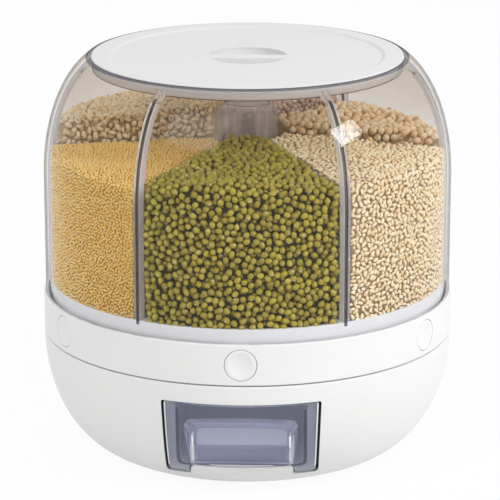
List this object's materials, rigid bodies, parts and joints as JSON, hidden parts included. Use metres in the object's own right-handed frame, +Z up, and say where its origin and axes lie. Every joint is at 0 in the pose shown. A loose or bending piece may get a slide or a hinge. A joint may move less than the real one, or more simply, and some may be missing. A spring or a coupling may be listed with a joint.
{
  "type": "rotating food dispenser",
  "caption": "Round kitchen dispenser for dry food: a clear divided bin under a lid turns on a white base, and each push button opens a gate above the catch drawer.",
  "frame": {"origin": "on the axis of rotation, on the plane that the feet stand on", "axes": "+Z up along the axis of rotation, -Y towards the drawer and front button, +X to the right seen from the front"},
  "size_m": [0.26, 0.26, 0.255],
  "materials": {
    "white_shell": "satin moulded white plastic",
    "white_inner": "moulded white plastic",
    "clear_plastic": "clear polished plastic",
    "smoke_plastic": "translucent grey-blue plastic",
    "seal_rubber": "soft dark seal",
    "foot_rubber": "soft grey rubber",
    "steel": "bright steel"
  },
  "bodies": {
    "base": {"base_housing": "white_shell", "rubber_feet": "foot_rubber", "drawer_sleeve": "white_inner", "sleeve_screws": "steel", "base_deck": "white_inner", "deck_screws": "steel", "spindle": "steel", "spindle_washer": "steel", "spindle_clip": "steel"},
    "ball_race": {"ball_cage": "white_inner", "bearing_balls": "steel"},
    "bin": {"turntable_plate": "white_inner", "turntable_ring": "white_shell", "rotor_screws": "steel", "hopper_floor": "white_inner", "bin_body": "clear_plastic", "divider_hub": "clear_plastic", "divider_panel_1": "clear_plastic", "divider_panel_2": "clear_plastic", "divider_panel_3": "clear_plastic", "divider_panel_4": "clear_plastic", "divider_panel_5": "clear_plastic", "divider_panel_6": "clear_plastic", "gate_spring_1": "steel", "gate_spring_2": "steel", "gate_spring_3": "steel", "gate_spring_4": "steel", "gate_spring_5": "steel", "gate_spring_6": "steel"},
    "lid": {"lid": "white_shell", "lid_seal": "seal_rubber", "lid_grip": "white_shell"},
    "drawer": {"drawer": "smoke_plastic"},
    "gate_1": {"button_1": "white_shell", "gate_slide_1": "white_inner"},
    "gate_2": {"button_2": "white_shell", "gate_slide_2": "white_inner"},
    "gate_3": {"button_3": "white_shell", "gate_slide_3": "white_inner"},
    "gate_4": {"button_4": "white_shell", "gate_slide_4": "white_inner"},
    "gate_5": {"button_5": "white_shell", "gate_slide_5": "white_inner"},
    "gate_6": {"button_6": "white_shell", "gate_slide_6": "white_inner"}
  },
  "joints": [
    {"name": "bin_spin", "type": "hinge", "parent": "base", "child": "bin", "pos_m": [0, 0, 0.0744], "axis": [0, 0, 1], "continuous": true},
    {"name": "race_spin", "type": "hinge", "parent": "base", "child": "ball_race", "pos_m": [0, 0, 0.0744], "axis": [0, 0, 1], "continuous": true},
    {"name": "drawer_slide", "type": "slide", "parent": "base", "child": "drawer", "axis": [0, -1, 0], "range_m": [0, 0.1]},
    {"name": "lid_lift", "type": "slide", "parent": "bin", "child": "lid", "axis": [0, 0, 1], "range_m": [0, 0.08]},
    {"name": "button_press_1", "type": "slide", "parent": "bin", "child": "gate_1", "axis": [0, 1, 0], "range_m": [0, 0.012], "stiffness_N_per_m": 220, "springref_m": -0.004, "deforming": ["gate_spring_1"]},
    {"name": "button_press_2", "type": "slide", "parent": "bin", "child": "gate_2", "axis": [-0.866, 0.5, 0], "range_m": [0, 0.012], "stiffness_N_per_m": 220, "springref_m": -0.004, "deforming": ["gate_spring_2"]},
    {"name": "button_press_3", "type": "slide", "parent": "bin", "child": "gate_3", "axis": [-0.866, -0.5, 0], "range_m": [0, 0.012], "stiffness_N_per_m": 220, "springref_m": -0.004, "deforming": ["gate_spring_3"]},
    {"name": "button_press_4", "type": "slide", "parent": "bin", "child": "gate_4", "axis": [0, -1, 0], "range_m": [0, 0.012], "stiffness_N_per_m": 220, "springref_m": -0.004, "deforming": ["gate_spring_4"]},
    {"name": "button_press_5", "type": "slide", "parent": "bin", "child": "gate_5", "axis": [0.866, -0.5, 0], "range_m": [0, 0.012], "stiffness_N_per_m": 220, "springref_m": -0.004, "deforming": ["gate_spring_5"]},
    {"name": "button_press_6", "type": "slide", "parent": "bin", "child": "gate_6", "axis": [0.866, 0.5, 0], "range_m": [0, 0.012], "stiffness_N_per_m": 220, "springref_m": -0.004, "deforming": ["gate_spring_6"]}
  ],
  "couplings": [
    {"joint": "race_spin", "follows": "bin_spin", "ratio": 0.5}
  ]
}
